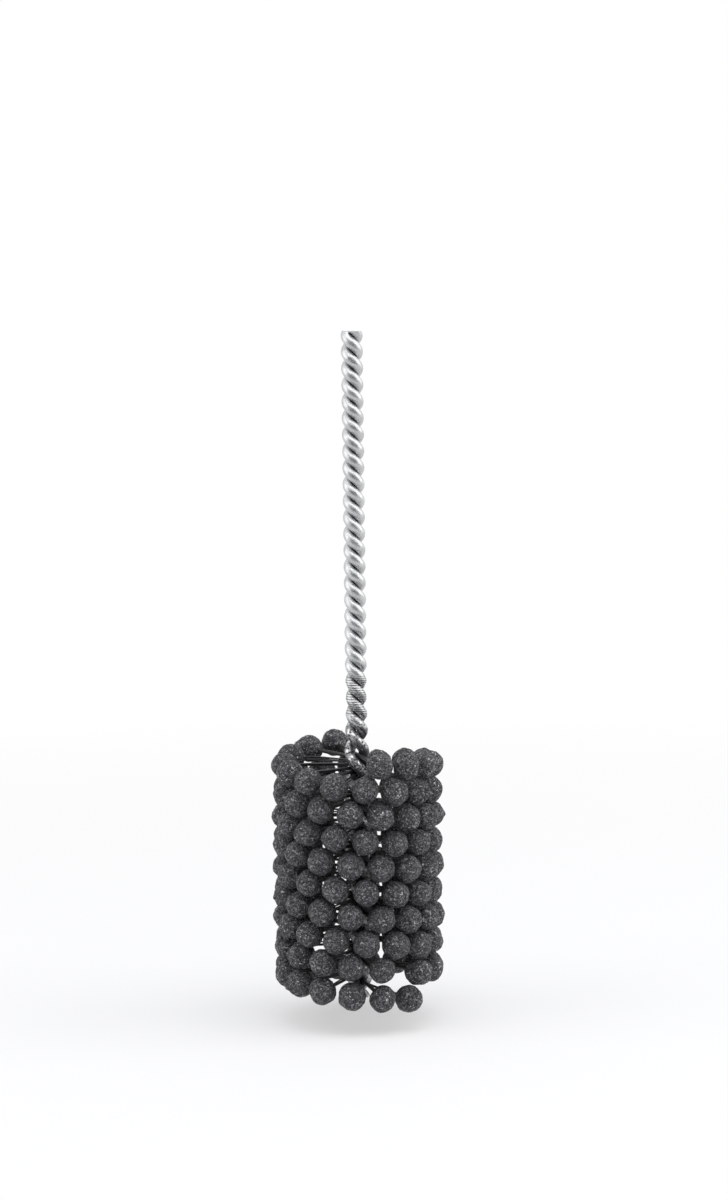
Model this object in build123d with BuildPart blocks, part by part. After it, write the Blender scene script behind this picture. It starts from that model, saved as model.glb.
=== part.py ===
from build123d import *
import math
import os

# Flexible ball hone. Two stem wires are twisted to the left. In the brush they nip tufts of filaments,
# each of which passes right through the stem and carries an abrasive ball on both of its ends.
# The stem's axis is Z. The shank points up, its sheared end lies in the plane z = 0, and the brush hangs
# below, as it does from a drill's chuck.

# Driving dimensions of the whole tool, in millimetres
overall_length = 203.0
hone_diameter = 52.0
row_count = 9

# The stem's wires
wire_diameter = 3.2
wire_gap = 0.2  # between the two wires in the shank, where they lie closest
shank_lay_ratio = 1.5  # the shank's lead divided by its outer diameter
neck_length = 9.5  # stretch over which the brush's long lead tightens to the shank's
neck_offset = 1.0  # from the top tuft's centre to the start of the neck
tip_height = 1.2  # the stem's cut lower end above the undersides of the lowest balls
cut_allowance = 4.0  # extra wire at both ends, sheared off flat
neck_point_count = 9

# The filaments
filament_diameter = 0.45
filament_gap = 0.02  # between neighbours in a tuft
filaments_across = 2
filaments_high = 2
nip_clearance = 0.08  # between a tuft and each wire
tuft_gap = 0.06  # least room between one tuft and the next along the stem

# The abrasive balls
ball_diameter = 8.2
ring_gap = 0.5  # least room between neighbours in one row
row_gap = 0.34  # room between balls of neighbouring rows
collar_diameter = 2.4  # ball's small foot, where the mix ran down the filaments
collar_length = 0.7
collar_flare = 1.6  # radius at which the foot runs into the ball
socket_depth = 2.5  # from the ball's round surface to the filaments' ends
socket_clearance = 0.04

# The lowest row droops a little, because no row below holds it up
lowest_droop = 0.75  # at the seats of its filaments
first_tuft_angle = -52.0  # degrees, lowest tuft, counter-clockwise from +X seen from above

# Worked out for the filaments
filament_radius = filament_diameter / 2
filament_spacing = filament_diameter + filament_gap
tuft_half_width = (filaments_across - 1) * filament_spacing / 2 + filament_radius
tuft_half_height = (filaments_high - 1) * filament_spacing / 2 + filament_radius
tuft_radius = math.hypot(
    (filaments_across - 1) * filament_spacing / 2, (filaments_high - 1) * filament_spacing / 2
) + filament_radius

# Worked out for the balls
ball_radius = ball_diameter / 2
ball_centre_radius = hone_diameter / 2 - ball_radius
socket_radius = tuft_radius + socket_clearance
socket_end_radius = ball_centre_radius - ball_radius + socket_depth
filament_reach = socket_end_radius - socket_clearance
seat_radius = socket_end_radius - socket_depth / 2

# An odd number of tufts to a turn staggers each row of balls against the next
ring_step = 2 * math.degrees(math.asin((ball_diameter + ring_gap) / (2 * ball_centre_radius)))
half_turn_steps = math.floor((360 / ring_step - 1) / 2)
tufts_per_turn = 2 * half_turn_steps + 1
tuft_step = 360 / tufts_per_turn

# The balls set the pitch of the tufts, unless the filaments need more
stagger = 2 * ball_centre_radius * math.sin(math.radians(tuft_step / 4))
row_rise = math.sqrt((ball_diameter + row_gap) ** 2 - stagger**2)
row_pitch = row_rise / (1 - 1 / tufts_per_turn)
tuft_pitch = max(2 * row_pitch / tufts_per_turn, 2 * tuft_half_height + tuft_gap)
brush_lead = tufts_per_turn * tuft_pitch

# The lowest row's filaments bend to one arc, whose ends point down by this angle at their seats
droop_arc_radius = (seat_radius**2 + lowest_droop**2) / (2 * lowest_droop)
droop_angle = math.degrees(math.asin(seat_radius / droop_arc_radius))
ball_drop = lowest_droop + (ball_centre_radius - seat_radius) * math.sin(math.radians(droop_angle))

# Tufts are numbered from the lowest. Half a step is left out above the lowest row
lowest_row_tufts = half_turn_steps + 1
upper_tufts = (row_count - 1) * tufts_per_turn // 2 + 1
tuft_count = lowest_row_tufts + upper_tufts
brush_bottom = -overall_length
lowest_tuft_height = brush_bottom + ball_radius + ball_drop
row_shift = 0.5


def tuft_number(index):
    """The tuft's place on the stem's twist, in steps from the lowest tuft."""
    return index if index < lowest_row_tufts else index + row_shift


def tuft_height(index):
    return lowest_tuft_height + tuft_number(index) * tuft_pitch


def tuft_angle(index):
    """The direction in which the tuft points on its first side, in degrees."""
    return first_tuft_angle - tuft_number(index) * tuft_step


def row_of(index):
    """Rows are numbered from 1 at the bottom, and hold half a turn of tufts each."""
    if index < lowest_row_tufts:
        return 1
    half_turns = (index - lowest_row_tufts) * 2 // tufts_per_turn
    return min(2 + half_turns, row_count)


def outward(angle, dip=0.0):
    """A unit vector that points away from the stem, dip degrees below level."""
    level = math.cos(math.radians(dip))
    turn = math.radians(angle)
    return Vector(level * math.cos(turn), level * math.sin(turn), -math.sin(math.radians(dip)))


def sideways(angle):
    turn = math.radians(angle)
    return Vector(-math.sin(turn), math.cos(turn), 0)


def ball_plane(index, angle):
    """The plane whose Z runs out along the tuft's end, with the ball's centre ball_centre_radius away."""
    stem_point = Vector(0, 0, tuft_height(index))
    if row_of(index) > 1:
        return Plane(origin=stem_point, x_dir=sideways(angle), z_dir=outward(angle))
    seat = stem_point + outward(angle) * seat_radius - Vector(0, 0, lowest_droop)
    along = outward(angle, droop_angle)
    return Plane(origin=seat - along * seat_radius, x_dir=sideways(angle), z_dir=along)


def droop_point(index, angle):
    """Where the end of a drooping filament lies, on its arc."""
    bend = filament_reach / droop_arc_radius
    stem_point = Vector(0, 0, tuft_height(index) - droop_arc_radius * (1 - math.cos(bend)))
    return stem_point + outward(angle) * droop_arc_radius * math.sin(bend)


# Stem: the twist of the wires, which stand at right angles to each tuft that they nip
wire_radius = wire_diameter / 2
shank_offset = wire_radius + wire_gap / 2  # from the stem's axis to a wire's centre
shank_lead = shank_lay_ratio * 2 * (shank_offset + wire_radius)
brush_offset = wire_radius + tuft_half_width + nip_clearance
neck_start = tuft_height(tuft_count - 1) + neck_offset
neck_end = neck_start + neck_length
brush_twist = -360 / brush_lead  # degrees per millimetre, turning to the left
shank_twist = -360 / shank_lead


def brush_angle(height):
    """The direction of the first wire at a height in the brush."""
    return first_tuft_angle + 90 + (height - lowest_tuft_height) * brush_twist


def neck_point(share):
    """A point of the first wire's centre line in the neck, which blends lead and offset smoothly."""
    blend = share**2 * (3 - 2 * share)
    blend_sum = share**3 - share**4 / 2
    offset = brush_offset + (shank_offset - brush_offset) * blend
    turn = brush_twist * share + (shank_twist - brush_twist) * blend_sum
    angle = math.radians(brush_angle(neck_start) + neck_length * turn)
    return Vector(offset * math.cos(angle), offset * math.sin(angle), neck_start + neck_length * share)


def helix_direction(angle, offset, twist):
    """The direction of a wire that stands at an angle and climbs with a twist."""
    return sideways(angle) * offset * math.radians(twist) + Vector(0, 0, 1)


neck_end_angle = brush_angle(neck_start) + neck_length * (brush_twist + shank_twist) / 2
tip = brush_bottom + tip_height
wire_start = tip - cut_allowance
wire_end = cut_allowance


def wire_helix(lead, offset, start, end, angle):
    """A left-hand helix between two heights, which begins at an angle in degrees."""
    turns = Helix(lead, end - start, offset, center=(0, 0, start), lefthand=True, mode=Mode.PRIVATE)
    return turns.rotate(Axis.Z, angle)


with BuildPart() as stem_wire_a:
    with BuildLine() as brush_line:
        add(wire_helix(brush_lead, brush_offset, wire_start, neck_start, brush_angle(wire_start)))
    with BuildLine() as neck_line:
        Spline(
            [neck_point(step / (neck_point_count - 1)) for step in range(neck_point_count)],
            tangents=[
                helix_direction(brush_angle(neck_start), brush_offset, brush_twist),
                helix_direction(neck_end_angle, shank_offset, shank_twist),
            ],
        )
    with BuildLine() as shank_line:
        add(wire_helix(shank_lead, shank_offset, neck_end, wire_end, neck_end_angle))
    for stretch in (brush_line, neck_line, shank_line):
        path = stretch.wire()
        with BuildSketch(Plane(origin=path @ 0, z_dir=path % 0)):
            Circle(wire_radius)
        sweep(path=path, is_frenet=True)
    split(bisect_by=Plane.XY.offset(tip), keep=Keep.TOP)
    split(bisect_by=Plane.XY, keep=Keep.BOTTOM)

stem_wire_a.part.label = "stem_wire_a"

with BuildPart() as stem_wire_b:
    with Locations(Rotation(0, 0, 180)):
        add(stem_wire_a.part)

stem_wire_b.part.label = "stem_wire_b"

# Abrasive ball, with its foot and the blind socket in which a tuft is bonded
collar_radius = collar_diameter / 2
ball_inner_radius = ball_centre_radius - ball_radius
collar_end = ball_inner_radius - collar_length
flare_height = ball_centre_radius - math.sqrt(ball_radius**2 - collar_flare**2)

with BuildPart() as ball:
    with BuildSketch(Plane.XZ):
        with BuildLine():
            Polyline(
                (0, ball_centre_radius + ball_radius),
                (0, socket_end_radius),
                (socket_radius, socket_end_radius),
                (socket_radius, collar_end),
                (collar_radius, collar_end),
                (collar_flare, flare_height),
            )
            ThreePointArc(
                (collar_flare, flare_height),
                (ball_radius, ball_centre_radius),
                (0, ball_centre_radius + ball_radius),
            )
        make_face()
    revolve(axis=Axis.Z)

# Rows: each is a set of filaments and the balls on both of its sides
rows = []
for row in range(1, row_count + 1):
    tufts = [index for index in range(tuft_count) if row_of(index) == row]

    with BuildPart() as filaments:
        for index in tufts:
            angle = tuft_angle(index)
            if row == 1:
                with BuildLine() as bent:
                    ThreePointArc(
                        droop_point(index, angle + 180),
                        (0, 0, tuft_height(index)),
                        droop_point(index, angle),
                    )
                start = Plane(origin=bent.line @ 0, x_dir=sideways(angle), z_dir=bent.line % 0)
            else:
                start = ball_plane(index, angle)
            with BuildSketch(start):
                with GridLocations(filament_spacing, filament_spacing, filaments_across, filaments_high):
                    Circle(filament_radius)
            if row == 1:
                sweep(path=bent.line)
            else:
                extrude(amount=filament_reach, both=True)
    filaments.part.label = f"row_{row}_filaments"
    rows.append(filaments)

    for side, turn in (("a", 0), ("b", 180)):
        with BuildPart() as balls:
            with Locations(*(ball_plane(index, tuft_angle(index) + turn) for index in tufts)):
                add(ball.part)
        balls.part.label = f"row_{row}_balls_{side}"
        rows.append(balls)

os.makedirs("parts", exist_ok=True)
for piece in (stem_wire_a, stem_wire_b, *rows):
    export_step(piece.part, f"parts/{piece.part.label}.step")
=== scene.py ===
# %% [markdown]
# # A flexible ball hone
# The tool is a brush for the inside of a cylinder: two steel wires twisted into a stem, nylon filaments
# nipped between them, and a ball of abrasive grit on each end of every tuft. The construction is loaded
# first, as a fixed frame. Each visible piece is then modelled in mesh code in the same place, because
# lumpy grit, bowed nylon and drawn wire are finer than the plain solids that carry and move them.

# %% Load the frame
import math
import random

import bmesh
import bpy
from mathutils import Matrix, Vector, noise


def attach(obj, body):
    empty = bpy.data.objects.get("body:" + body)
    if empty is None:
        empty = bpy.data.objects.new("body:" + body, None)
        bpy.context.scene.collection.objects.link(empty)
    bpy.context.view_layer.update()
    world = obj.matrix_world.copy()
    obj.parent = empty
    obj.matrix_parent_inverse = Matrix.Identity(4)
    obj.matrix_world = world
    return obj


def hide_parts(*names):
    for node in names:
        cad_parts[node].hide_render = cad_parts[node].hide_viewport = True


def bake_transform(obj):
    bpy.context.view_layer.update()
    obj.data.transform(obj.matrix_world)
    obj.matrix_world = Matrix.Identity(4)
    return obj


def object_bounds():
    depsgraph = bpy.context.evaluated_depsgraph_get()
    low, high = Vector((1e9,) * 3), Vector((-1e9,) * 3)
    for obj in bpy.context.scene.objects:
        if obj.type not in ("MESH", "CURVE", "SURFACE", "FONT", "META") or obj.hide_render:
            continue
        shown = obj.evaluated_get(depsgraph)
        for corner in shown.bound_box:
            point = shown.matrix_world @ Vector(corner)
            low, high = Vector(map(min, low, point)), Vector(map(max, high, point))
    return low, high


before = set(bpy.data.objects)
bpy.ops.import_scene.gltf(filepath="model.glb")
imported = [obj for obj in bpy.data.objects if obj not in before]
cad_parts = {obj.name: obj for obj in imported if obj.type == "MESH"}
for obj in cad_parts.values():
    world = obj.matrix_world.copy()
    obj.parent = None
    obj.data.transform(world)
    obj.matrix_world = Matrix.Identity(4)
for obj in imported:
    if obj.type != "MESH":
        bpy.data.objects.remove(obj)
cad_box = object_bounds()
scene = bpy.context.scene

# %% [markdown]
# ## Sizes
# Lengths are in metres. The stem's axis is Z and its sheared end lies at z = 0, so the brush hangs below.
# Everything about the brush follows from a few sizes: its diameter, the ball, and how many tufts make one
# turn. Named values keep the pieces in step, which pasted numbers wouldn't. Half a step of the stair of
# tufts is left out above the lowest row, which therefore sits a little apart.

# %% Driving sizes
MM = 0.001
overall_length = 203 * MM
hone_diameter = 52 * MM
row_count = 9
ball_diameter = 8.2 * MM
row_gap = 0.34 * MM
tufts_per_turn = 15
first_tuft_angle = math.radians(-52)
filament_diameter = 0.45 * MM
filament_gap = 0.02 * MM
nip_clearance = 0.08 * MM
socket_depth = 2.5 * MM
lowest_droop = 0.75 * MM
wire_diameter = 3.2 * MM
wire_gap = 0.2 * MM
shank_lay_ratio = 1.5
neck_length = 9.5 * MM
neck_offset = 1.0 * MM
tip_height = 1.2 * MM
steps_left_out = 0.5
print("hone in mm", round(overall_length / MM), "long,", round(hone_diameter / MM), "across")

# %% Sizes worked out from them
ball_radius = ball_diameter / 2
ball_centre_radius = hone_diameter / 2 - ball_radius
tuft_step = 2 * math.pi / tufts_per_turn
stagger = 2 * ball_centre_radius * math.sin(tuft_step / 4)
row_rise = math.sqrt((ball_diameter + row_gap) ** 2 - stagger**2)
row_pitch = row_rise / (1 - 1 / tufts_per_turn)
tuft_pitch = 2 * row_pitch / tufts_per_turn
lowest_row_tufts = tufts_per_turn // 2 + 1
tuft_count = lowest_row_tufts + (row_count - 1) * tufts_per_turn // 2 + 1
seat_radius = ball_centre_radius - ball_radius + socket_depth / 2
droop_arc_radius = (seat_radius**2 + lowest_droop**2) / (2 * lowest_droop)
droop_angle = math.asin(seat_radius / droop_arc_radius)
ball_drop = lowest_droop + (ball_centre_radius - seat_radius) * math.sin(droop_angle)
lowest_tuft_height = -overall_length + ball_radius + ball_drop
print("tufts", tuft_count, "pitch in mm", round(tuft_pitch / MM, 3))

# %% [markdown]
# ## Where each tuft sits
# The tufts climb the stem like stairs, one step of 24 degrees to the left for each pitch, and each one
# sticks out on both sides. One small class holds a tuft's height, angle and row, so that the balls and the
# filaments ask the same source where they belong.


# %% The tufts
class Tuft:
    def __init__(self, index):
        self.number = index + 1
        in_lowest_row = index < lowest_row_tufts
        place = index if in_lowest_row else index + steps_left_out
        above = (index - lowest_row_tufts) * 2 // tufts_per_turn
        self.row = 1 if in_lowest_row else min(2 + above, row_count)
        self.height = lowest_tuft_height + place * tuft_pitch
        self.angle = first_tuft_angle - place * tuft_step
        self.droops = in_lowest_row

    def outward(self, side):
        turn = self.angle + (math.pi if side == "b" else 0)
        return Vector((math.cos(turn), math.sin(turn), 0))

    def point(self, side, reach):
        """The tuft's centre line, at a distance from the stem's axis."""
        sag = reach**2 / (2 * droop_arc_radius) if self.droops else 0
        return self.outward(side) * reach + Vector((0, 0, self.height - sag))

    def frame(self, side, reach):
        """Across, up and along the tuft at that distance, as three unit vectors."""
        step = 0.1 * MM
        along = (self.point(side, reach + step) - self.point(side, reach)).normalized()
        across = Vector((0, 0, 1)).cross(along).normalized()
        return across, along.cross(across), along


tufts = [Tuft(index) for index in range(tuft_count)]
print("rows", {row: sum(t.row == row for t in tufts) for row in range(1, row_count + 1)})

# %% [markdown]
# ## Camera
# The photograph was taken from about a metre away, a little above the brush, with the stem leaning slightly
# to the left in the picture. The camera stands there, with the photograph's tall frame.

# %% Camera
camera_distance = 1.0
camera_azimuth = math.radians(-4)
look_down = math.radians(7.5)
camera_roll = math.radians(0.7)
frame_height_at_target = 0.3601
target = Vector((2.7 * MM, 0, -80.5 * MM))

camera = bpy.data.objects.new("camera", bpy.data.cameras.new("camera"))
scene.collection.objects.link(camera)
direction = Vector((0, math.cos(look_down), -math.sin(look_down)))
direction.rotate(Matrix.Rotation(camera_azimuth, 3, "Z"))
camera.location = target - direction * camera_distance
turn = direction.to_track_quat("-Z", "Y").to_matrix() @ Matrix.Rotation(-camera_roll, 3, "Z")
camera.rotation_euler = turn.to_euler()
camera.data.sensor_fit = "VERTICAL"
camera.data.angle = 2 * math.atan(frame_height_at_target / 2 / camera_distance)
scene.camera = camera
scene.view_settings.view_transform = "Standard"
print("camera at", [round(c, 3) for c in camera.location])

# %% [markdown]
# ## Floor, world and lamps
# The object hangs just above a pale floor, under even studio light. Camera rays and mirror rays meet a
# white world, so the background is white without any more light on the object. Close to the object the
# floor is mostly white paint, which keeps the shadow, and further out it fades into the world's white. The
# tool hangs with a little room below it, because the lowest balls swing down when the brush
# is pulled.


# %% Helpers for node trees
def tree_of(owner):
    """An empty node tree to build in."""
    owner.use_nodes = True
    owner.node_tree.nodes.clear()
    return owner.node_tree


def node(tree, kind, **settings):
    """Adds a node and sets its properties and inputs by name. A socket is linked, and a value is stored."""
    made = tree.nodes.new(kind)
    for name, value in settings.items():
        if hasattr(made, name):
            setattr(made, name, value)
            continue
        socket = made.inputs[name.replace("_", " ")]
        if isinstance(value, bpy.types.NodeSocket):
            tree.links.new(value, socket)
        else:
            socket.default_value = value
    return made


def maths(tree, operation, first, second, clamp=False):
    """A Math node on two sockets or numbers, and its result."""
    made = node(tree, "ShaderNodeMath", operation=operation, use_clamp=clamp)
    for socket, value in zip(made.inputs, (first, second)):
        if isinstance(value, bpy.types.NodeSocket):
            tree.links.new(value, socket)
        else:
            socket.default_value = value
    return made.outputs[0]


def ramp(tree, value, low, high, to_low=0.0, to_high=1.0):
    """Maps a range of a value to another, without going beyond it."""
    made = node(
        tree, "ShaderNodeMapRange", Value=value, From_Min=low, From_Max=high, To_Min=to_low, To_Max=to_high
    )
    return made.outputs[0]


def sees_background(tree):
    """1 for the rays that show the background: straight ones, mirrored ones and ones through glass."""
    path = node(tree, "ShaderNodeLightPath").outputs
    mirrored = maths(tree, "ADD", path["Is Camera Ray"], path["Is Glossy Ray"], clamp=True)
    return maths(tree, "ADD", mirrored, path["Is Transmission Ray"], clamp=True)


# %% Floor
floor_reach = 30.0
shadow_reach = (0.12, 0.6)
near_glow, full_glow = 0.3, 1.0
white_paint = (0.95, 0.95, 0.95, 1)
room_below = 6 * MM

floor_height = cad_box[0][2] - room_below
floor_mesh = bpy.data.meshes.new("floor")
corners = [(x, y, floor_height) for x, y in ((-1, -1), (1, -1), (1, 1), (-1, 1))]
floor_mesh.from_pydata([(x * floor_reach, y * floor_reach, z) for x, y, z in corners], [], [(0, 1, 2, 3)])
floor = bpy.data.objects.new("floor", floor_mesh)
scene.collection.objects.link(floor)

floor_paint = bpy.data.materials.new("white floor")
tree = tree_of(floor_paint)
place = node(tree, "ShaderNodeTexCoord")
reach = node(tree, "ShaderNodeVectorMath", operation="LENGTH", Vector=place.outputs["Object"])
far = ramp(tree, reach.outputs["Value"], *shadow_reach, near_glow)
paint = node(tree, "ShaderNodeBsdfDiffuse", Color=white_paint)
glow = node(tree, "ShaderNodeEmission", Color=(1, 1, 1, 1), Strength=full_glow)
shown = maths(tree, "MULTIPLY", far, sees_background(tree))
surface = node(tree, "ShaderNodeMixShader", Fac=shown)
tree.links.new(paint.outputs[0], surface.inputs[1])
tree.links.new(glow.outputs[0], surface.inputs[2])
node(tree, "ShaderNodeOutputMaterial", Surface=surface.outputs[0])
floor_mesh.materials.append(floor_paint)
print("floor at", round(floor_height / MM, 1), "mm")

# %% World
studio_fill = 0.6
world = bpy.data.worlds.new("studio")
scene.world = world
tree = tree_of(world)
fill = node(tree, "ShaderNodeBackground", Color=(0.95, 0.97, 1.0, 1), Strength=studio_fill)
white = node(tree, "ShaderNodeBackground", Color=(1, 1, 1, 1), Strength=full_glow)
choice = node(tree, "ShaderNodeMixShader", Fac=sees_background(tree))
tree.links.new(fill.outputs[0], choice.inputs[1])
tree.links.new(white.outputs[0], choice.inputs[2])
node(tree, "ShaderNodeOutputWorld", Surface=choice.outputs[0])
print("world", world.name)

# %% [markdown]
# Round bright wire shows the room that it stands in. A tall soft box on each side gives both of its edges
# a bright band, and a dark card on the camera's side gives its middle a darker one. Without the card, the
# twist would look like white rope. The card is bent, and its lower half lies just above the floor, so that
# the wire's lower flanks darken too. It is seen in mirror reflections only, and takes no light from the
# rest of the object. The lamps aim at the middle of the tool.


# %% Lamps
lamp_target = Vector((0, 0, -0.1))


def soft_box(name, place, size, radiance):
    """A rectangular lamp that faces the object, by the brightness of its surface."""
    data = bpy.data.lights.new(name, "AREA")
    data.shape = "RECTANGLE"
    data.size, data.size_y = size
    data.energy = radiance * math.pi * size[0] * size[1]
    lamp = bpy.data.objects.new(name, data)
    scene.collection.objects.link(lamp)
    lamp.location = place
    lamp.rotation_euler = (lamp_target - Vector(place)).to_track_quat("-Z", "Y").to_euler()


soft_box("left box", (-1.05, -0.25, 0.2), (0.9, 1.6), 1.1)
soft_box("right box", (1.05, -0.2, 0.2), (0.9, 1.6), 1.5)
soft_box("top box", (0.1, -0.35, 1.0), (1.0, 1.0), 1.5)

# %% Dark card
card_half_width, card_top = 1.1, 0.7
card_back, card_front, above_floor = -1.2, -0.3, 0.01
card_grey = (0.21, 0.21, 0.22, 1)

card_mesh = bpy.data.meshes.new("dark card")
card_low = floor_height + above_floor
bends = [(card_back, card_top), (card_back, card_low), (card_front, card_low)]
corners = [(side * card_half_width, y, z) for y, z in bends for side in (-1, 1)]
card_mesh.from_pydata(corners, [], [(0, 1, 3, 2), (2, 3, 5, 4)])
card = bpy.data.objects.new("dark card", card_mesh)
scene.collection.objects.link(card)
for rays in ("camera", "diffuse", "transmission", "volume_scatter", "shadow"):
    setattr(card, f"visible_{rays}", False)
card_paint = bpy.data.materials.new("dark card")
tree = tree_of(card_paint)
surface = node(tree, "ShaderNodeBsdfDiffuse", Color=card_grey)
node(tree, "ShaderNodeOutputMaterial", Surface=surface.outputs[0])
card_mesh.materials.append(card_paint)
print("card's lower half from y =", card_back, "to", card_front, "m")

# %% [markdown]
# ## Shared finishes
# Two effects are used by more than one material, so each is a node group with named inputs. *Mottle* is a
# slow, cloudy variation that keeps any one colour from looking like paint. *Grains* scatters cells of
# random height and brightness, as grit in resin or the crystals in a zinc skin. It can also tilt the
# surface of each cell its own way, as the faces of broken crystals lie. A group hands out masks and
# normals, and the material decides what to do with them, so one group serves several finishes.

# %% Helpers for finishes
def new_group(name, inputs, outputs):
    """A group with float inputs and typed outputs, and the sockets of its input and output nodes."""
    group = bpy.data.node_groups.new(name, "ShaderNodeTree")
    for socket_name, value in inputs.items():
        socket = group.interface.new_socket(socket_name, in_out="INPUT", socket_type="NodeSocketFloat")
        socket.default_value = value
    for socket_name, kind in outputs.items():
        group.interface.new_socket(socket_name, in_out="OUTPUT", socket_type=f"NodeSocket{kind}")
    return group, node(group, "NodeGroupInput").outputs, node(group, "NodeGroupOutput").inputs


def use_group(tree, group, **values):
    """Places a node group in a tree with its own input values, and returns its outputs."""
    placed = node(tree, "ShaderNodeGroup", node_tree=group)
    for name, value in values.items():
        placed.inputs[name].default_value = value
    return placed.outputs


def mix_colours(tree, mask, *colours):
    """A mix of two colours by a mask. Each is three numbers or a socket."""
    mix = node(tree, "ShaderNodeMix", data_type="RGBA", Factor=mask)
    colour_sockets = mix.inputs[6:8]
    for socket, colour in zip(colour_sockets, colours):
        if isinstance(colour, bpy.types.NodeSocket):
            tree.links.new(colour, socket)
        else:
            socket.default_value = (*colour, 1)
    return mix.outputs[2]


def mix_normals(tree, mask, *normals):
    """A mix of two normals by a mask."""
    mix = node(tree, "ShaderNodeMix", data_type="VECTOR", Factor=mask)
    vector_sockets = mix.inputs[4:6]
    for socket, normal in zip(vector_sockets, normals):
        tree.links.new(normal, socket)
    return mix.outputs[1]


def bump(tree, height, distance, below=None):
    """Relief from a height, over the relief below it if there is one."""
    made = node(tree, "ShaderNodeBump", Height=height, Distance=distance)
    if below:
        tree.links.new(below, made.inputs["Normal"])
    return made.outputs[0]


# %% Mottle
mottle, given, result = new_group("Mottle", {"Size": 3 * MM, "Low": 0.35, "High": 0.65}, {"Mask": "Float"})
place = node(mottle, "ShaderNodeTexCoord")
per_metre = maths(mottle, "DIVIDE", 1.0, given["Size"])
cloud = node(mottle, "ShaderNodeTexNoise", Detail=3.0, Vector=place.outputs["Object"], Scale=per_metre)
mask = ramp(mottle, cloud.outputs["Fac"], given["Low"], given["High"])
mottle.links.new(mask, result["Mask"])
print("group", mottle.name, "nodes", len(mottle.nodes))

# %% [markdown]
# A Voronoi texture divides space into cells, which have straight sides. Pushing its coordinates about with
# a finer noise first makes the outlines ragged, like grit. *Shape* is a dome on each cell, wide or narrow
# by chance, and *Random* and *Chance* are two numbers that a cell keeps over its whole width.

# %% Grains: ragged cells
inputs = {"Size": 0.4 * MM, "Raggedness": 0.3, "Tilt": 0.0}
outputs = {"Shape": "Float", "Random": "Float", "Chance": "Float", "Facet": "Vector"}
middle = (0.5, 0.5, 0.5)
noise_per_cell = 1.7
narrowest, widest = 0.3, 0.75

grains, given, result = new_group("Grains", inputs, outputs)
place = node(grains, "ShaderNodeTexCoord")
per_metre = maths(grains, "DIVIDE", 1.0, given["Size"])
finer = maths(grains, "MULTIPLY", per_metre, noise_per_cell)
wobble = node(grains, "ShaderNodeTexNoise", Vector=place.outputs["Object"], Scale=finer, Detail=2.0)
offset = node(grains, "ShaderNodeVectorMath", operation="SUBTRACT", Vector=wobble.outputs["Color"])
offset.inputs[1].default_value = middle
reach = maths(grains, "MULTIPLY", given["Size"], given["Raggedness"])
offset = node(grains, "ShaderNodeVectorMath", operation="SCALE", Vector=offset.outputs[0], Scale=reach)
moved = node(grains, "ShaderNodeVectorMath", operation="ADD", Vector=place.outputs["Object"])
grains.links.new(offset.outputs[0], moved.inputs[1])
cells = node(grains, "ShaderNodeTexVoronoi", Vector=moved.outputs[0], Scale=per_metre)
channels = node(grains, "ShaderNodeSeparateColor", Color=cells.outputs["Color"]).outputs
half_width = ramp(grains, channels[2], 0.0, 1.0, narrowest, widest)
share = maths(grains, "DIVIDE", cells.outputs["Distance"], half_width)
grains.links.new(ramp(grains, share, 1.0, 0.5), result["Shape"])
grains.links.new(channels[0], result["Random"])
grains.links.new(channels[1], result["Chance"])

# %% Grains: tilted facets
lean = node(grains, "ShaderNodeTexWhiteNoise", Vector=cells.outputs["Position"])
lean = node(grains, "ShaderNodeVectorMath", operation="SUBTRACT", Vector=lean.outputs["Color"])
lean.inputs[1].default_value = middle
lean = node(grains, "ShaderNodeVectorMath", operation="SCALE", Vector=lean.outputs[0], Scale=given["Tilt"])
upright = node(grains, "ShaderNodeNewGeometry").outputs["Normal"]
facet = node(grains, "ShaderNodeVectorMath", operation="ADD", Vector=upright)
grains.links.new(lean.outputs[0], facet.inputs[1])
facet = node(grains, "ShaderNodeVectorMath", operation="NORMALIZE", Vector=facet.outputs[0])
grains.links.new(facet.outputs[0], result["Facet"])
print("group", grains.name, "nodes", len(grains.nodes))

# %% [markdown]
# ## Abrasive
# The balls are silicon carbide grit in a dark resin. They read as charcoal with a dense pale sparkle, and
# the sparkle is patchy, since resin covers some of the grains. So grains of two sizes are painted pale over
# a dark ground, as a painted sparkle for the glints of the dark crystals, and a mottle hides some of them.
# Raising a grain's random number to a power keeps most of them dim and only a few bright.

# %% Abrasive: colour
fine_size, medium_size, coarse_size = 0.21 * MM, 0.42 * MM, 1.0 * MM
crystal_tilt = 1.3
dark_resin, pale_resin = (0.008, 0.008, 0.010), (0.022, 0.022, 0.025)
# The pale colour of bare grains is a painted sparkle, and it also tints their metallic shine.
grey_dust, crystal_and_painted_sparkle = (0.11, 0.11, 0.12), (0.95, 0.95, 0.98)
fine_rarity, medium_rarity = 2.4, 3.2
fine_share, dust_share, under_resin = 0.72, 0.4, 0.22

abrasive = bpy.data.materials.new("abrasive grit")
tree = tree_of(abrasive)
fine = use_group(tree, grains, Size=fine_size, Raggedness=0.9, Tilt=crystal_tilt)
medium = use_group(tree, grains, Size=medium_size, Raggedness=1.0, Tilt=crystal_tilt)
clouds = use_group(tree, mottle, Size=1.8 * MM, Low=0.36, High=0.64)
clusters = use_group(tree, mottle, Size=0.75 * MM, Low=0.42, High=0.6)

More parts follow.
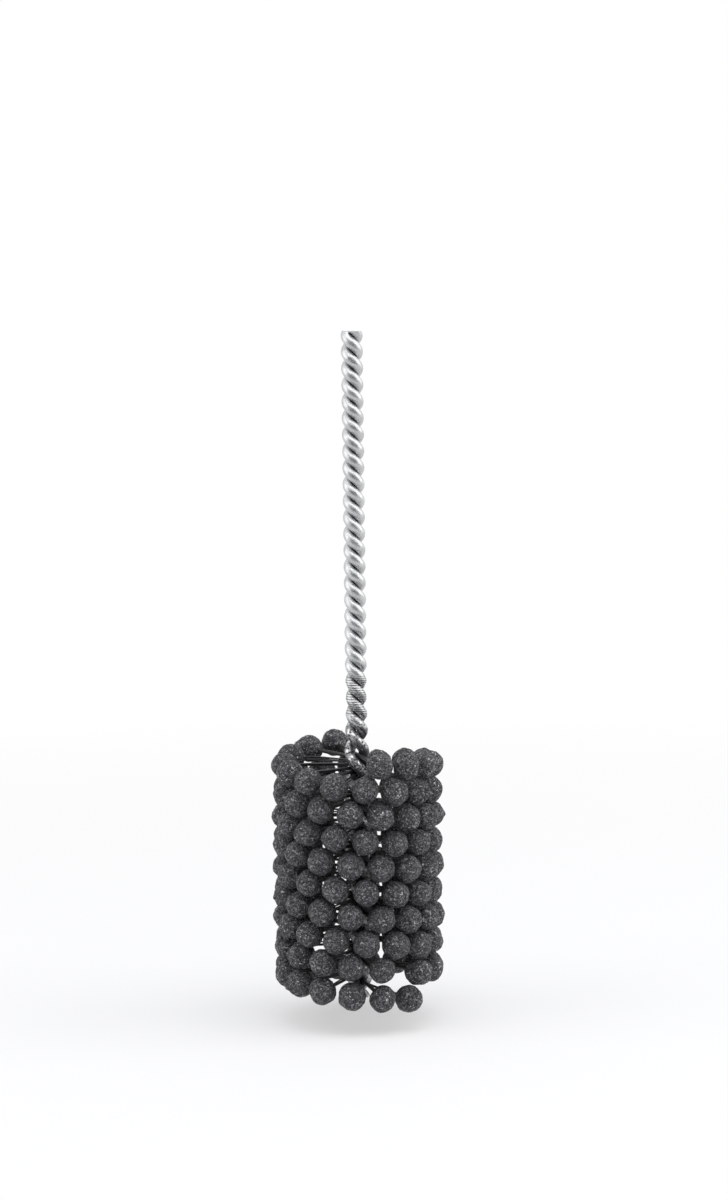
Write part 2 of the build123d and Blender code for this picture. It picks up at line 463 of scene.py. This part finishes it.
resin = mix_colours(tree, clouds["Mask"], dark_resin, pale_resin)
dusty = mix_colours(tree, maths(tree, "MULTIPLY", clusters["Mask"], dust_share), resin, grey_dust)
large = maths(tree, "MULTIPLY", maths(tree, "POWER", medium["Random"], medium_rarity), medium["Shape"])
small = maths(tree, "MULTIPLY", maths(tree, "POWER", fine["Random"], fine_rarity), fine["Shape"])
bare_and_sparkle = maths(tree, "ADD", large, maths(tree, "MULTIPLY", small, fine_share), clamp=True)
bare_and_sparkle = maths(tree, "MULTIPLY", bare_and_sparkle, ramp(tree, clusters["Mask"], 0.0, 1.0, under_resin, 1.0))
# Painted highlight: the bare grains are painted pale, which stands in for their sparkle.
grit_colour = mix_colours(tree, bare_and_sparkle, dusty, crystal_and_painted_sparkle)

# %% [markdown]
# Colour alone would look printed on. Every grain is tilted its own way, like a crystal's face, so
# neighbours catch different light. Bumps at two larger scales make the skin rough between them, and the
# barer a grain is, the more it shines.

# %% Abrasive: relief and shine
coarse_relief, medium_relief = 0.5 * MM, 0.3 * MM
resin_roughness, crystal_roughness = 0.68, 0.26
crystal_metal = 0.5

coarse = use_group(tree, grains, Size=coarse_size, Raggedness=1.0)
facets = mix_normals(tree, large, fine["Facet"], medium["Facet"])
coarse_height = maths(tree, "MULTIPLY", coarse["Chance"], coarse["Shape"])
medium_height = maths(tree, "MULTIPLY", medium["Chance"], medium["Shape"])
relief = bump(tree, coarse_height, coarse_relief, facets)
relief = bump(tree, medium_height, medium_relief, relief)
shine = ramp(tree, bare_and_sparkle, 0.0, 0.4, resin_roughness, crystal_roughness)
metal = ramp(tree, bare_and_sparkle, 0.0, 0.3, 0.0, crystal_metal)
surface = node(tree, "ShaderNodeBsdfPrincipled", Base_Color=grit_colour, Roughness=shine, Metallic=metal)
tree.links.new(relief, surface.inputs["Normal"])
node(tree, "ShaderNodeOutputMaterial", Surface=surface.outputs[0])
print("material", abrasive.name, "nodes", len(tree.nodes))

# %% [markdown]
# ## Balls
# Each ball is a blob of grit and resin that set on the end of its tuft, so no two are alike. They differ in
# size, lean a little out of place, are slightly flattened, and carry shallow lumps. Here and there the mix
# dried with a small point, and a foot runs down the filaments. A finely divided sphere is pushed in and out
# by all of these. Everything random is seeded by the tuft, so a ball comes out the same each time.

# %% Sizes of a ball's unevenness
most_shrink, stray = 0.06, 0.1 * MM
most_flat = 0.08
plump = 0.12 * MM
lump_size, lump_height = 2.4 * MM, 0.32 * MM
grit_size, grit_height, grit_middle = 0.75 * MM, 0.2 * MM, 0.4
foot_length, foot_width = 0.75 * MM, 0.24
point_length, point_width, point_share = 0.85 * MM, 0.24, 0.18
point_outward, point_down = 0.8, 0.5
noise_range = 50

# %% A finely divided sphere
ball_detail = 5
template = bmesh.new()
bmesh.ops.create_icosphere(template, subdivisions=ball_detail, radius=1.0)
ball_directions = [vertex.co.copy() for vertex in template.verts]
ball_faces = [[vertex.index for vertex in face.verts] for face in template.faces]
template.free()
print("points on a ball", len(ball_directions))


# %% One ball's shape
def random_direction(chance):
    return Vector([chance.gauss(0, 1) for _ in range(3)]).normalized()


def swelling(direction, axis, width):
    """1 along the axis, falling to 0 beyond its width in radians."""
    return math.exp(-((direction.angle(axis) / width) ** 2))


def ball_points(tuft, side):
    """The points of one lumpy ball, in place."""
    chance = random.Random(f"ball {tuft.number}{side}")
    across, up, along = tuft.frame(side, seat_radius)
    centre = tuft.point(side, seat_radius) + along * (ball_centre_radius - seat_radius)
    shrink = most_shrink * chance.random() ** 1.5
    centre += random_direction(chance) * (stray + ball_radius * shrink) * chance.random()
    flat, flat_axis = most_flat * chance.random(), random_direction(chance)
    seed = random_direction(chance) * noise_range
    has_point = chance.random() < point_share
    point_axis = random_direction(chance) + along * point_outward - Vector((0, 0, point_down))
    point_axis.normalize()
    points = []
    for direction in ball_directions:
        outward = across * direction.x + up * direction.y + along * direction.z
        radius = plump + ball_radius * (1 - shrink) * (1 - flat * outward.dot(flat_axis) ** 2)
        radius += lump_height * noise.noise(outward * (ball_radius / lump_size) + seed)
        nearest = noise.voronoi(outward * (ball_radius / grit_size) + seed)[0][0]
        radius += grit_height * (grit_middle - nearest)
        radius += foot_length * swelling(outward, -along, foot_width)
        if has_point:
            radius += point_length * swelling(outward, point_axis, point_width)
        points.append(centre + outward * radius)
    return points


# %% Rows of balls
def add_object(name, mesh, material):
    """A smooth-shaded object with one material."""
    mesh.materials.append(material)
    mesh.polygons.foreach_set("use_smooth", [True] * len(mesh.polygons))
    made = bpy.data.objects.new(name, mesh)
    scene.collection.objects.link(made)
    return made


for row in range(1, row_count + 1):
    for side in "ab":
        points, faces = [], []
        for tuft in (t for t in tufts if t.row == row):
            start = len(points)
            points += ball_points(tuft, side)
            faces += [[start + corner for corner in face] for face in ball_faces]
        mesh = bpy.data.meshes.new(f"grit balls {row}{side}")
        mesh.from_pydata(points, [], faces)
        balls = add_object(f"grit_balls_{row}{side}", mesh, abrasive)
        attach(balls, f"balls_{row}")
        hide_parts(f"row_{row}_balls_{side}")
print("balls", 2 * tuft_count, "faces each", len(ball_faces))

# %% [markdown]
# ## Filaments
# The nylon is dark and slightly glossy. Four filaments make a tuft, and each bows a little its own way
# between the stem and its ball. They are modelled as thin tubes. Each side of a tuft is made in two
# lengths: a root that leaves the stem's grip, and an outer length that reaches the ball. Both lengths have
# the same ring of points where they meet, so no joint opens between them.

# %% Nylon material
deep_black, worn_black = (0.012, 0.012, 0.014), (0.035, 0.034, 0.036)
glossy, worn_dull = 0.28, 0.45

nylon = bpy.data.materials.new("dark nylon")
tree = tree_of(nylon)
clouds = use_group(tree, mottle, Size=1.2 * MM, Low=0.3, High=0.7)
shade = mix_colours(tree, clouds["Mask"], deep_black, worn_black)
gloss = ramp(tree, clouds["Mask"], 0.0, 1.0, glossy, worn_dull)
surface = node(tree, "ShaderNodeBsdfPrincipled", Base_Color=shade, Roughness=gloss)
node(tree, "ShaderNodeOutputMaterial", Surface=surface.outputs[0])
print("material", nylon.name, "nodes", len(tree.nodes))

# %% One filament
filament_radius = filament_diameter / 2
filament_spacing = filament_diameter + filament_gap
filament_end = ball_centre_radius - ball_radius + socket_depth / 2
grip_end, seam, ball_end = 2.0 * MM, 7.0 * MM, filament_end - socket_depth / 2
free_start = 4.0 * MM
overlap = 0.2 * MM
bow, bow_seed = 0.75 * MM, 1
ring_pitch, sides = 1.0 * MM, 8
tuft_places = ((-0.5, -0.5), (-0.5, 0.5), (0.5, -0.5), (0.5, 0.5))

# Blender seeds its vector noise from the clock unless a seed is set
noise.seed_set(bow_seed)


def filament(tuft, side, steps, reaches, points, faces):
    """Adds one filament's tube between two distances from the stem's axis."""
    across_step, up_step = steps
    # Places far apart in the noise, so that no two filaments bow alike
    seed = Vector((tuft.number * 3.7, across_step * 5.1 + up_step * 2.3, 1.5 if side == "a" else 8.5))
    bend = noise.noise_vector(seed) * bow
    rings = round((reaches[1] - reaches[0]) / ring_pitch)
    start = len(points)
    for ring in range(rings + 1):
        reach = reaches[0] + (reaches[1] - reaches[0]) * ring / rings
        across, up, along = tuft.frame(side, reach)
        share = max(0.0, (reach - free_start) / (filament_end - free_start))
        centre = tuft.point(side, reach) + bend * math.sin(math.pi * share)
        centre += across * across_step * filament_spacing + up * up_step * filament_spacing
        for corner in range(sides):
            swing = 2 * math.pi * corner / sides
            points.append(centre + (across * math.cos(swing) + up * math.sin(swing)) * filament_radius)
    for ring in range(rings):
        for corner in range(sides):
            low, high = start + ring * sides, start + (ring + 1) * sides
            after = (corner + 1) % sides
            faces.append((low + corner, low + after, high + after, high + corner))


# %% Tufts of filaments
def tuft_length(tuft, side, name, reaches, bend):
    """One length of all four filaments of a tuft."""
    points, faces = [], []
    for steps in tuft_places:
        filament(tuft, side, steps, reaches, points, faces)
    mesh = bpy.data.meshes.new(name)
    mesh.from_pydata(points, [], faces)
    piece = add_object(name, mesh, nylon)
    tuft.point(side, bend[0])
    tuft.point(side, bend[1])
    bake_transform(piece)
    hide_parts(f"row_{tuft.row}_filaments")


for tuft in tufts:
    for side in "ab":
        name = f"tuft_{tuft.number:02d}{side}"
        tuft_length(tuft, side, f"{name}_root", (-overlap, seam), (grip_end, seam))
        tuft_length(tuft, side, f"{name}_tip", (seam, filament_end), (seam, ball_end))
print("filaments", tuft_count * len(tuft_places))

# %% [markdown]
# ## Stem
# Two round wires wind round each other to the left: loosely in the brush, where the tufts hold them apart,
# and tightly in the shank. A tube is swept along each wire's centre line, one ring of points at a time, and
# cut flat at both ends. A single list of heights keeps both wires alike, half a turn apart.

# %% The wires' centre lines
wire_radius = wire_diameter / 2
pressed = wire_gap / 4
shank_offset = wire_radius + wire_gap / 2
shank_lead = shank_lay_ratio * 2 * (shank_offset + wire_radius)
brush_offset = wire_radius + filament_spacing / 2 + filament_radius + nip_clearance
brush_lead = tufts_per_turn * tuft_pitch
neck_start = tufts[-1].height + neck_offset
neck_end = neck_start + neck_length
tip = -overall_length + tip_height


def wire_centre(height, half_turn):
    """A wire's centre at a height: the brush's helix, then a neck that tightens it, then the shank's."""
    share = min(1.0, max(0.0, (height - neck_start) / neck_length))
    blend = share**2 * (3 - 2 * share)
    blend_sum = share**3 - share**4 / 2
    offset = brush_offset + (shank_offset - pressed - brush_offset) * blend
    angle = first_tuft_angle + math.pi / 2 + half_turn
    angle -= 2 * math.pi * (min(height, neck_end) - lowest_tuft_height) / brush_lead
    angle -= 2 * math.pi * neck_length * (1 / shank_lead - 1 / brush_lead) * blend_sum
    angle -= 2 * math.pi * max(0.0, height - neck_end) / shank_lead
    return Vector((offset * math.cos(angle), offset * math.sin(angle), height))


print("leads in mm", round(brush_lead / MM, 1), "in the brush,", round(shank_lead / MM, 1), "in the shank")

# %% [markdown]
# Two traces of how the stem was made are worth modelling. A serrated chuck gripped the shank just above
# the brush while the wires were twisted. It pressed the crests flat and left a band of fine ridges. A shear
# cut both ends, squeezed them, and left faces that are a little sunken and torn, with a low burr.

# %% Marks of the jaws and the shear
jaw_top, jaw_bottom = -100.5 * MM, -115.5 * MM
jaw_pitch, jaw_depth, jaw_squeeze = 0.72 * MM, 0.22 * MM, 0.2 * MM
tooth_width, tooth_slant = 0.5, 0.1
grip_fade_above, grip_fade_below = 1 / 3, 1 / 8
grip_evenness, grip_patch = 0.8, 1.6 * MM
shear_reach, shear_drag = 2.0 * MM, 0.24 * MM
shear_evenness, shear_patch = 0.6, 0.9 * MM
crest_from, crest_width = 1.3 * wire_radius, 0.5 * wire_radius


def on_crest(point):
    """1 on the outermost line of a wire, falling to 0 on the side that faces the other wire."""
    reach = math.hypot(point.x, point.y)
    return min(1.0, max(0.0, (reach - crest_from) / crest_width))


def jaw_mark(point):
    """How far the jaws pressed the surface in at a point."""
    if not jaw_bottom < point.z < jaw_top:
        return 0.0
    share = (jaw_top - point.z) / (jaw_top - jaw_bottom)
    grip = min(1.0, share / grip_fade_above, (1 - share) / grip_fade_below)
    grip *= min(1.0, grip_evenness + noise.noise(point / grip_patch))
    from_tooth = abs((point.z / jaw_pitch + tooth_slant * math.atan2(point.y, point.x)) % 1 - 0.5)
    tooth = max(0.0, 1 - 2 * from_tooth / tooth_width)
    crest = on_crest(point)
    return grip * crest * (jaw_squeeze * crest + jaw_depth * tooth)


def shear_mark(point):
    """How far the shear dragged the surface in at a point near either end."""
    from_end = min(abs(point.z), abs(point.z - tip))
    if from_end > shear_reach:
        return 0.0
    rough = shear_evenness + noise.noise(point / shear_patch)
    return shear_drag * on_crest(point) * (1 - from_end / shear_reach) ** 2 * rough


print("ridges in the jaws' band", round((jaw_top - jaw_bottom) / jaw_pitch))

# %% [markdown]
# The wire is bright galvanised steel. Drawing leaves fine lines along it, and zinc leaves a faint mottle.
# The side that faces the other wire is painted darker, as painted shade where the two wires meet. The lines
# have to run along the wire wherever it turns, so the tube carries a UV map with one axis round the wire
# and the other along it. The lines are noise that is stretched along the second.

# %% Wire: zinc and drawn lines
line_stretch = (26, 120, 1)
groove_from, groove_to = 0.25, 0.15
dull_zinc, bright_zinc = (0.53, 0.535, 0.54), (0.66, 0.665, 0.67)
# The second grey is painted shade for the side of each wire that faces the other.
grey_flake, groove_shade_grey = (0.42, 0.43, 0.44), (0.36, 0.36, 0.37)
flake_share = 0.25

galvanised = bpy.data.materials.new("galvanised wire")
tree = tree_of(galvanised)
along_wire = node(tree, "ShaderNodeUVMap", uv_map="along_wire").outputs[0]
stretched = node(tree, "ShaderNodeMapping", Vector=along_wire, Scale=line_stretch).outputs[0]
lines = node(tree, "ShaderNodeTexNoise", Vector=stretched, Scale=1.0, Detail=4.0).outputs["Fac"]
around = node(tree, "ShaderNodeSeparateXYZ", Vector=along_wire).outputs[0]
from_groove = maths(tree, "ABSOLUTE", maths(tree, "SUBTRACT", around, 0.5), 0.0)
# Painted shade: the side that faces the other wire is darkened where the two wires meet.
painted_groove_shade = ramp(tree, from_groove, groove_from, groove_to)
zinc = use_group(tree, mottle, Size=2.2 * MM, Low=0.3, High=0.7)
flakes = use_group(tree, grains, Size=0.6 * MM)
metal = mix_colours(tree, zinc["Mask"], dull_zinc, bright_zinc)
metal = mix_colours(tree, maths(tree, "MULTIPLY", flakes["Random"], flake_share), metal, grey_flake)
metal = mix_colours(tree, painted_groove_shade, metal, groove_shade_grey)
print("drawn lines round a wire", line_stretch[0])

# %% [markdown]
# The marks that the jaws' teeth left are painted darker, as dirt in them and as painted shade in their
# hollows. The tooth pitch and slant that shape the wire are used again here, with the height and the angle
# about the stem, so the darkening lies in the marks.

# %% Wire: dirt and painted shade in the jaws' marks
mark_dirt_and_shade, dirt_and_shade_share = (0.1, 0.1, 0.1), 0.85
full_grip = jaw_top - 6 * jaw_pitch

place = node(tree, "ShaderNodeTexCoord").outputs["Object"]
x, y, height = node(tree, "ShaderNodeSeparateXYZ", Vector=place).outputs
turn = maths(tree, "MULTIPLY", maths(tree, "ARCTAN2", y, x), tooth_slant)
tooth = maths(tree, "FRACT", maths(tree, "ADD", maths(tree, "DIVIDE", height, jaw_pitch), turn), 0.0)
from_tooth = maths(tree, "ABSOLUTE", maths(tree, "SUBTRACT", tooth, 0.5), 0.0)
above_bottom = ramp(tree, height, jaw_bottom, jaw_bottom + jaw_pitch)
gripped = maths(tree, "MULTIPLY", above_bottom, ramp(tree, height, jaw_top, full_grip))
marks = maths(tree, "MULTIPLY", gripped, ramp(tree, from_tooth, tooth_width / 2, tooth_width / 5))
# Dirt and painted shade: the jaws' marks are darkened.
metal = mix_colours(tree, maths(tree, "MULTIPLY", marks, dirt_and_shade_share), metal, mark_dirt_and_shade)
print("dirt from", round(jaw_bottom / MM, 1), "to", round(jaw_top / MM, 1), "mm")

# %% [markdown]
# In and near the brush the metal is smeared with the dust of the mix, and crumbs of it are stuck on. Bare
# patches between the smears glint more sharply than the rest of the wire. The cut faces are torn. Their
# shape is modelled, and the material adds a darker mottle with a little relief there.

# %% Wire: dust, crumbs and cut faces
clean_above, smeared_below = neck_end + 4 * MM, neck_start + 4 * MM
dust_grey, dust_most = (0.21, 0.21, 0.22), 0.9
crumb_size, crumb_black = 0.8 * MM, (0.03, 0.03, 0.035)
crumb_chance = (0.45, 0.6)
level_face = (0.82, 0.9)
scar_grey, scar_share = (0.24, 0.24, 0.25), 0.6

in_brush = ramp(tree, height, clean_above, smeared_below)
smears = use_group(tree, mottle, Size=1.4 * MM, Low=0.44, High=0.56)
dust = maths(tree, "MULTIPLY", in_brush, maths(tree, "MULTIPLY", smears["Mask"], dust_most))
metal = mix_colours(tree, dust, metal, dust_grey)
crumbs = use_group(tree, grains, Size=crumb_size, Raggedness=1.2)
stuck = maths(tree, "MULTIPLY", ramp(tree, crumbs["Random"], *crumb_chance), crumbs["Shape"])
stuck = maths(tree, "MULTIPLY", stuck, in_brush)
metal = mix_colours(tree, stuck, metal, crumb_black)

true_normal = node(tree, "ShaderNodeNewGeometry").outputs["True Normal"]
facing = node(tree, "ShaderNodeSeparateXYZ", Vector=true_normal).outputs[2]
cut = ramp(tree, maths(tree, "ABSOLUTE", facing, 0.0), *level_face)
torn = use_group(tree, mottle, Size=0.7 * MM, Low=0.42, High=0.58)
scars = maths(tree, "MULTIPLY", cut, torn["Mask"])
metal = mix_colours(tree, maths(tree, "MULTIPLY", scars, scar_share), metal, scar_grey)
print("smeared from", round(clean_above / MM, 1), "mm down")

# %% Wire: shine and relief
smooth_line, rough_line = 0.34, 0.5
polish_in_brush, dust_roughness = 0.6, 0.3
line_relief, zinc_relief, scar_relief, crumb_relief = 0.05 * MM, 0.04 * MM, 0.05 * MM, 0.4 * MM

polish = ramp(tree, lines, 0.3, 0.7, smooth_line, rough_line)
polish = maths(tree, "MULTIPLY", polish, ramp(tree, in_brush, 0.0, 1.0, 1.0, polish_in_brush))
polish = maths(tree, "ADD", polish, maths(tree, "MULTIPLY", dust, dust_roughness))
relief = bump(tree, lines, line_relief)
relief = bump(tree, zinc["Mask"], zinc_relief, relief)
relief = bump(tree, scars, scar_relief, relief)
relief = bump(tree, stuck, crumb_relief, relief)
bare_metal = maths(tree, "SUBTRACT", 1.0, stuck)
surface = node(tree, "ShaderNodeBsdfPrincipled", Base_Color=metal, Roughness=polish, Metallic=bare_metal)
tree.links.new(relief, surface.inputs["Normal"])
node(tree, "ShaderNodeOutputMaterial", Surface=surface.outputs[0])
print("material", galvanised.name, "nodes", len(tree.nodes))

# %% [markdown]
# The tubes start and end beyond the cut faces, and a plane then shears them off level. Each hole is closed
# with rings of faces that run in to the middle and sink a little, so the end isn't a flat disc, and its rim
# gets a low burr. The rim's edges are marked sharp, because the rest of the wire is shaded smooth.

# %% Cut ends
cap_rings = 6
cap_sink, cap_level, cap_roughness, cap_patch = 0.08 * MM, 0.5, 2, 0.5 * MM
burr_height, burr_patch, burr_gap = 0.5 * MM, 0.7 * MM, 0.1


def cut_end(work, level, keep_below):
    """Cuts the tube at a level and closes it with a torn face that sinks towards its middle."""
    cut = bmesh.ops.bisect_plane(
        work, geom=work.verts[:] + work.edges[:] + work.faces[:], plane_co=(0, 0, level),
        plane_no=(0, 0, 1), clear_outer=keep_below, clear_inner=not keep_below,
    )
    rim = [element for element in cut["geom_cut"] if isinstance(element, bmesh.types.BMEdge)]
    cap = bmesh.ops.edgenet_fill(work, edges=rim)["faces"][0]
    for edge in rim:
        edge.smooth = False
    outer = list(cap.verts)
    middle = cap.calc_center_median()
    work.faces.remove(cap)
    inward = -1 if keep_below else 1
    for vertex in outer:
        burr = max(0.0, noise.noise(vertex.co / burr_patch) - burr_gap)
        vertex.co.z -= inward * burr_height * burr
    for ring in range(1, cap_rings):
        inner = []
        for vertex in outer:
            place = vertex.co.lerp(middle, 1 / (cap_rings + 1 - ring))
            rough = cap_level + cap_roughness * noise.noise(place / cap_patch)
            place.z = level + inward * cap_sink * rough
            inner.append(work.verts.new(place))
        for near, far, near_after, far_after in zip(
            outer, inner, outer[1:] + outer[:1], inner[1:] + inner[:1]
        ):
            work.faces.new((near, near_after, far_after, far))
        outer = inner
    work.faces.new(outer)


# %% Rings of points along a wire
wire_sides = 32
ring_step, jaw_ring_step = 0.2 * MM, 0.08 * MM
spare = 3.5 * MM
dent_size, dent_height = 1.1 * MM, 0.03 * MM
uv_length = 0.1


def ring_heights():
    """The heights of a wire's rings, closer together where the jaws gripped it."""
    heights = [tip - spare]
    while heights[-1] < spare:
        in_jaws = jaw_bottom - ring_step < heights[-1] < jaw_top
        heights.append(heights[-1] + (jaw_ring_step if in_jaws else ring_step))
    return heights


def wire_ring(height, half_turn):
    """The points round a wire at a height, with its dents and marks."""
    centre = wire_centre(height, half_turn)
    along = (wire_centre(height + ring_step / 10, half_turn) - centre).normalized()
    level = Vector((centre.x, centre.y, 0)).normalized()
    across = along.cross(level).normalized()
    level = across.cross(along)
    points = []
    for corner in range(wire_sides):
        swing = 2 * math.pi * corner / wire_sides
        outward = level * math.cos(swing) + across * math.sin(swing)
        skin = centre + outward * (wire_radius + pressed)
        dent = dent_height * noise.noise(skin / dent_size)
        points.append(skin + outward * (dent - jaw_mark(skin) - shear_mark(skin)))
    return points


print("rings on a wire", len(ring_heights()))


# %% Stem wires
def stem_wire(name, node_name, half_turn):
    """One wire: a tube through its rings, cut at both ends."""
    heights = ring_heights()
    points = [point for height in heights for point in wire_ring(height, half_turn)]
    faces, uvs = [], []
    for ring in range(len(heights) - 1):
        bottom, top = heights[ring] / uv_length, heights[ring + 1] / uv_length
        low, high = ring * wire_sides, (ring + 1) * wire_sides
        for corner in range(wire_sides):
            after = (corner + 1) % wire_sides
            faces.append((low + corner, low + after, high + after, high + corner))
            left, right = corner / wire_sides, (corner + 1) / wire_sides
            uvs += [(left, bottom), (right, bottom), (right, top), (left, top)]
    mesh = bpy.data.meshes.new(name)
    mesh.from_pydata(points, [], faces)
    layer = mesh.uv_layers.new(name="along_wire")
    layer.data.foreach_set("uv", [value for uv in uvs for value in uv])
    work = bmesh.new()
    work.from_mesh(mesh)
    cut_end(work, tip, keep_below=False)
    cut_end(work, 0.0, keep_below=True)
    bmesh.ops.recalc_face_normals(work, faces=work.faces[:])
    work.to_mesh(mesh)
    work.free()
    wire = add_object(name, mesh, galvanised)
    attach(wire, "stem")
    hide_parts(node_name)
    return len(mesh.polygons)


for letter, half_turn in (("a", 0), ("b", math.pi)):
    face_count = stem_wire(f"twisted_wire_{letter}", f"stem_wire_{letter}", half_turn)
    print("wire", letter, "faces", face_count)
